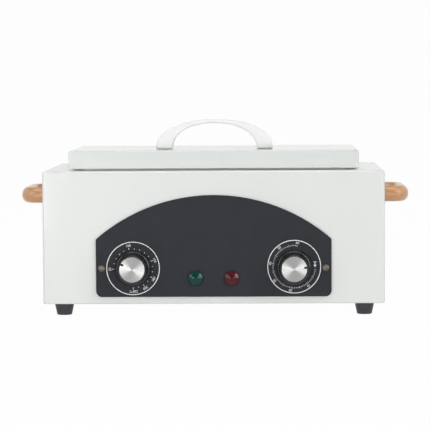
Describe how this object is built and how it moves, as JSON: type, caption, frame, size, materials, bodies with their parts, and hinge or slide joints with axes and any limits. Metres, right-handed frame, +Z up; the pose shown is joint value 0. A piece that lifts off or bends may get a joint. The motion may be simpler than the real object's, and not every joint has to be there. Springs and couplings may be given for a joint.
{
  "type": "dry heat sterilizer",
  "caption": "Bench-top dry heat sterilizer: white steel case with a hinged lid over a heated tank, arched control panel, dial knobs, signal lamps and carrying handles.",
  "frame": {"origin": "middle of the whole part's box in X and Y, on the surface that the feet stand on", "axes": "+X to the right seen from the front, +Y from the control panel to the back, +Z up"},
  "size_m": [0.3946, 0.2274, 0.1936],
  "materials": {
    "painted_steel": "white powder coat, semi-gloss, fine orange peel",
    "white_plastic": "moulded white plastic, satin",
    "charcoal_panel": "charcoal screen-printed plate, matt",
    "black_plastic": "moulded black plastic, semi-gloss",
    "black_rubber": "black rubber, matt",
    "spun_aluminium": "spun concentric grain",
    "stainless": "brushed stainless steel",
    "zinc_steel": "zinc-plated steel",
    "nickel_brass": "nickel-plated brass",
    "tan_handle": "tan moulded plastic with a wood tone, satin",
    "green_lens": "translucent green, glossy",
    "red_lens": "translucent red, glossy",
    "dark_silicone": "dark silicone rubber",
    "mineral_wool": "pale mineral wool",
    "sheath_steel": "heat-darkened sheath",
    "copper": "bare copper",
    "pale_ceramic": "pale heat-resistant insulator"
  },
  "bodies": {
    "housing": {"case_shell": "painted_steel", "base_plate": "zinc_steel", "foot_screw_front_left": "zinc_steel", "foot_screw_front_right": "zinc_steel", "foot_screw_rear_left": "zinc_steel", "foot_screw_rear_right": "zinc_steel", "timer_body": "zinc_steel", "side_handle_screw_left_front": "zinc_steel", "side_handle_screw_left_rear": "zinc_steel", "side_handle_screw_right_front": "zinc_steel", "side_handle_screw_right_rear": "zinc_steel", "hinge_pin_left": "zinc_steel", "hinge_pin_right": "zinc_steel", "inlet_screw_left": "zinc_steel", "inlet_screw_right": "zinc_steel", "foot_front_left": "black_rubber", "foot_front_right": "black_rubber", "foot_rear_left": "black_rubber", "foot_rear_right": "black_rubber", "chamber_tank": "stainless", "hinge_case_leaf_left": "stainless", "hinge_case_leaf_right": "stainless", "heating_element": "sheath_steel", "insulation_wrap": "mineral_wool", "thermostat_bulb": "copper", "thermostat_capillary": "copper", "thermal_cutout": "black_plastic", "mains_inlet": "black_plastic", "control_panel": "charcoal_panel", "thermostat_body": "pale_ceramic", "terminal_block": "pale_ceramic", "green_lamp_body": "pale_ceramic", "red_lamp_body": "pale_ceramic", "panel_screw_left": "nickel_brass", "panel_screw_right": "nickel_brass", "inlet_pin_line": "nickel_brass", "inlet_pin_neutral": "nickel_brass", "inlet_pin_earth": "nickel_brass", "side_handle_left": "tan_handle", "side_handle_right": "tan_handle", "green_lamp_lens": "green_lens", "red_lamp_lens": "red_lens"},
    "temperature_knob": {"temperature_shaft": "zinc_steel", "temperature_knob": "black_plastic", "temperature_knob_cap": "spun_aluminium"},
    "timer_knob": {"timer_shaft": "zinc_steel", "timer_knob": "black_plastic", "timer_knob_cap": "spun_aluminium"},
    "lid": {"lid_shell": "painted_steel", "lid_liner": "stainless", "hinge_lid_leaf_left": "stainless", "hinge_lid_leaf_right": "stainless", "lid_insulation": "mineral_wool", "lid_seal": "dark_silicone", "lid_handle": "white_plastic", "lid_handle_screw_left": "zinc_steel", "lid_handle_screw_right": "zinc_steel"},
    "tray": {"instrument_tray": "stainless", "tray_handle_left": "stainless", "tray_handle_right": "stainless"}
  },
  "joints": [
    {"name": "lid_hinge", "type": "hinge", "parent": "housing", "child": "lid", "pos_m": [0, 0.0867, 0.1481], "axis": [-1, 0, 0], "range_deg": [0, 100]},
    {"name": "temperature_turn", "type": "hinge", "parent": "housing", "child": "temperature_knob", "pos_m": [-0.08, -0.0946, 0.0479], "axis": [0, -1, 0], "range_deg": [-243, 28]},
    {"name": "timer_turn", "type": "hinge", "parent": "housing", "child": "timer_knob", "pos_m": [0.08, -0.0946, 0.0479], "axis": [0, -1, 0], "range_deg": [-286, 5.5]},
    {"name": "tray_lift", "type": "slide", "parent": "housing", "child": "tray", "axis": [0, 0, 1], "range_m": [0, 0.02]}
  ]
}
